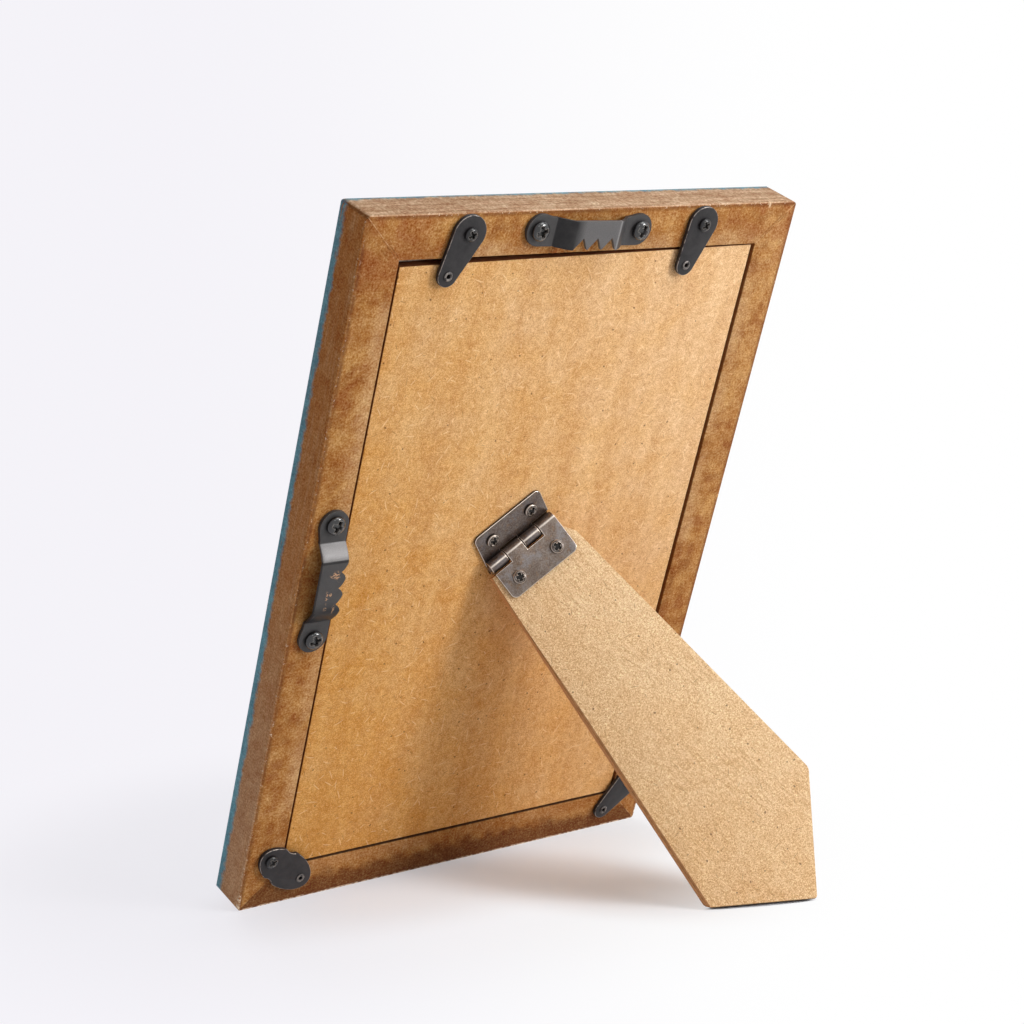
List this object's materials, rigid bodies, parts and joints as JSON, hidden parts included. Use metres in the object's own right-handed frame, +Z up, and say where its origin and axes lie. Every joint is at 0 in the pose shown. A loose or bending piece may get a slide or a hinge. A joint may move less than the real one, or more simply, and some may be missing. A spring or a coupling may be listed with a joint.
{
  "type": "picture frame",
  "caption": "Small standing picture frame of mitred stained rails, with glass, a back panel held by turn buttons, sawtooth hangers and a hinged easel leg on a diagonal hinge.",
  "frame": {"origin": "on the surface that the frame stands on, under the middle of the whole standing object", "axes": "+Z up, +Y towards the back, where the leg is, +X towards the left as seen from behind"},
  "size_m": [0.124, 0.0884, 0.1699],
  "materials": {
    "stained_rail": "brown stained fibreboard, satin, painted on the front",
    "bare_board": "bare tan fibreboard, matte",
    "black_steel": "satin black",
    "aged_steel": "dark bronzed, worn at the edges",
    "clear_glass": "clear, polished",
    "print_paper": "semi-gloss photo paper"
  },
  "bodies": {
    "frame": {"top_rail": "stained_rail", "bottom_rail": "stained_rail", "left_rail": "stained_rail", "right_rail": "stained_rail", "glass_pane": "clear_glass", "photo_print": "print_paper", "back_panel": "bare_board", "top_hanger": "black_steel", "top_hanger_screw_left": "black_steel", "top_hanger_screw_right": "black_steel", "side_hanger": "black_steel", "side_hanger_screw_upper": "black_steel", "side_hanger_screw_lower": "black_steel", "pivot_screw_top_left": "black_steel", "pivot_screw_top_right": "black_steel", "pivot_screw_bottom_left": "black_steel", "pivot_screw_bottom_right": "black_steel", "hinge_fixed_leaf": "aged_steel", "hinge_fixed_screw_lower": "aged_steel", "hinge_fixed_screw_upper": "aged_steel", "hinge_pin": "aged_steel"},
    "leg": {"easel_leg": "bare_board", "hinge_moving_leaf": "aged_steel", "hinge_moving_screw_lower": "aged_steel", "hinge_moving_screw_upper": "aged_steel"},
    "button_top_left": {"turn_button_top_left": "black_steel"},
    "button_top_right": {"turn_button_top_right": "black_steel"},
    "button_bottom_left": {"turn_button_bottom_left": "black_steel"},
    "button_bottom_right": {"turn_button_bottom_right": "black_steel"}
  },
  "joints": [
    {"name": "leg_fold", "type": "hinge", "parent": "frame", "child": "leg", "pos_m": [0.0011, -0.00262, 0.08702], "axis": [-0.8059, 0.1927, 0.5598], "range_deg": [0, 36.8]},
    {"name": "button_top_left_turn", "type": "hinge", "parent": "frame", "child": "button_top_left", "pos_m": [0.0351, 0.02166, 0.16232], "axis": [0, 0.9455, -0.3256], "continuous": true},
    {"name": "button_top_right_turn", "type": "hinge", "parent": "frame", "child": "button_top_right", "pos_m": [-0.0323, 0.02166, 0.16232], "axis": [0, 0.9455, -0.3256], "continuous": true},
    {"name": "button_bottom_left_turn", "type": "hinge", "parent": "frame", "child": "button_bottom_left", "pos_m": [0.05565, -0.02971, 0.01311], "axis": [0, 0.9455, -0.3256], "range_deg": [-25, 265]},
    {"name": "button_bottom_right_turn", "type": "hinge", "parent": "frame", "child": "button_bottom_right", "pos_m": [-0.05565, -0.02971, 0.01311], "axis": [0, 0.9455, -0.3256], "continuous": true}
  ]
}
